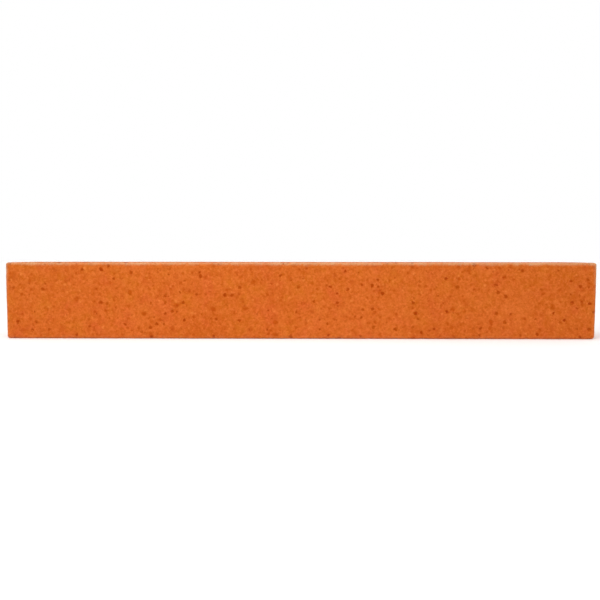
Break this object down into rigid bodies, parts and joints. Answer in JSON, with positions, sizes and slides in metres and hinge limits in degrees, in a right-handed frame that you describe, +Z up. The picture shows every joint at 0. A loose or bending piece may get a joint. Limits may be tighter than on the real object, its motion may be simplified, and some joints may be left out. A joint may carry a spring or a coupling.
{
  "type": "honing stick",
  "caption": "Square bar of fired orange abrasive with flat faces and softly broken edges, for honing edges and tools by hand.",
  "frame": {"origin": "middle of the underside, on the surface that the bar rests on", "axes": "+X along the bar's length, +Y from the front long face to the back one, +Z up"},
  "size_m": [0.1, 0.013, 0.013],
  "materials": {
    "fired_abrasive": "matte"
  },
  "bodies": {
    "root": {"honing_stick": "fired_abrasive"}
  },
  "joints": []
}
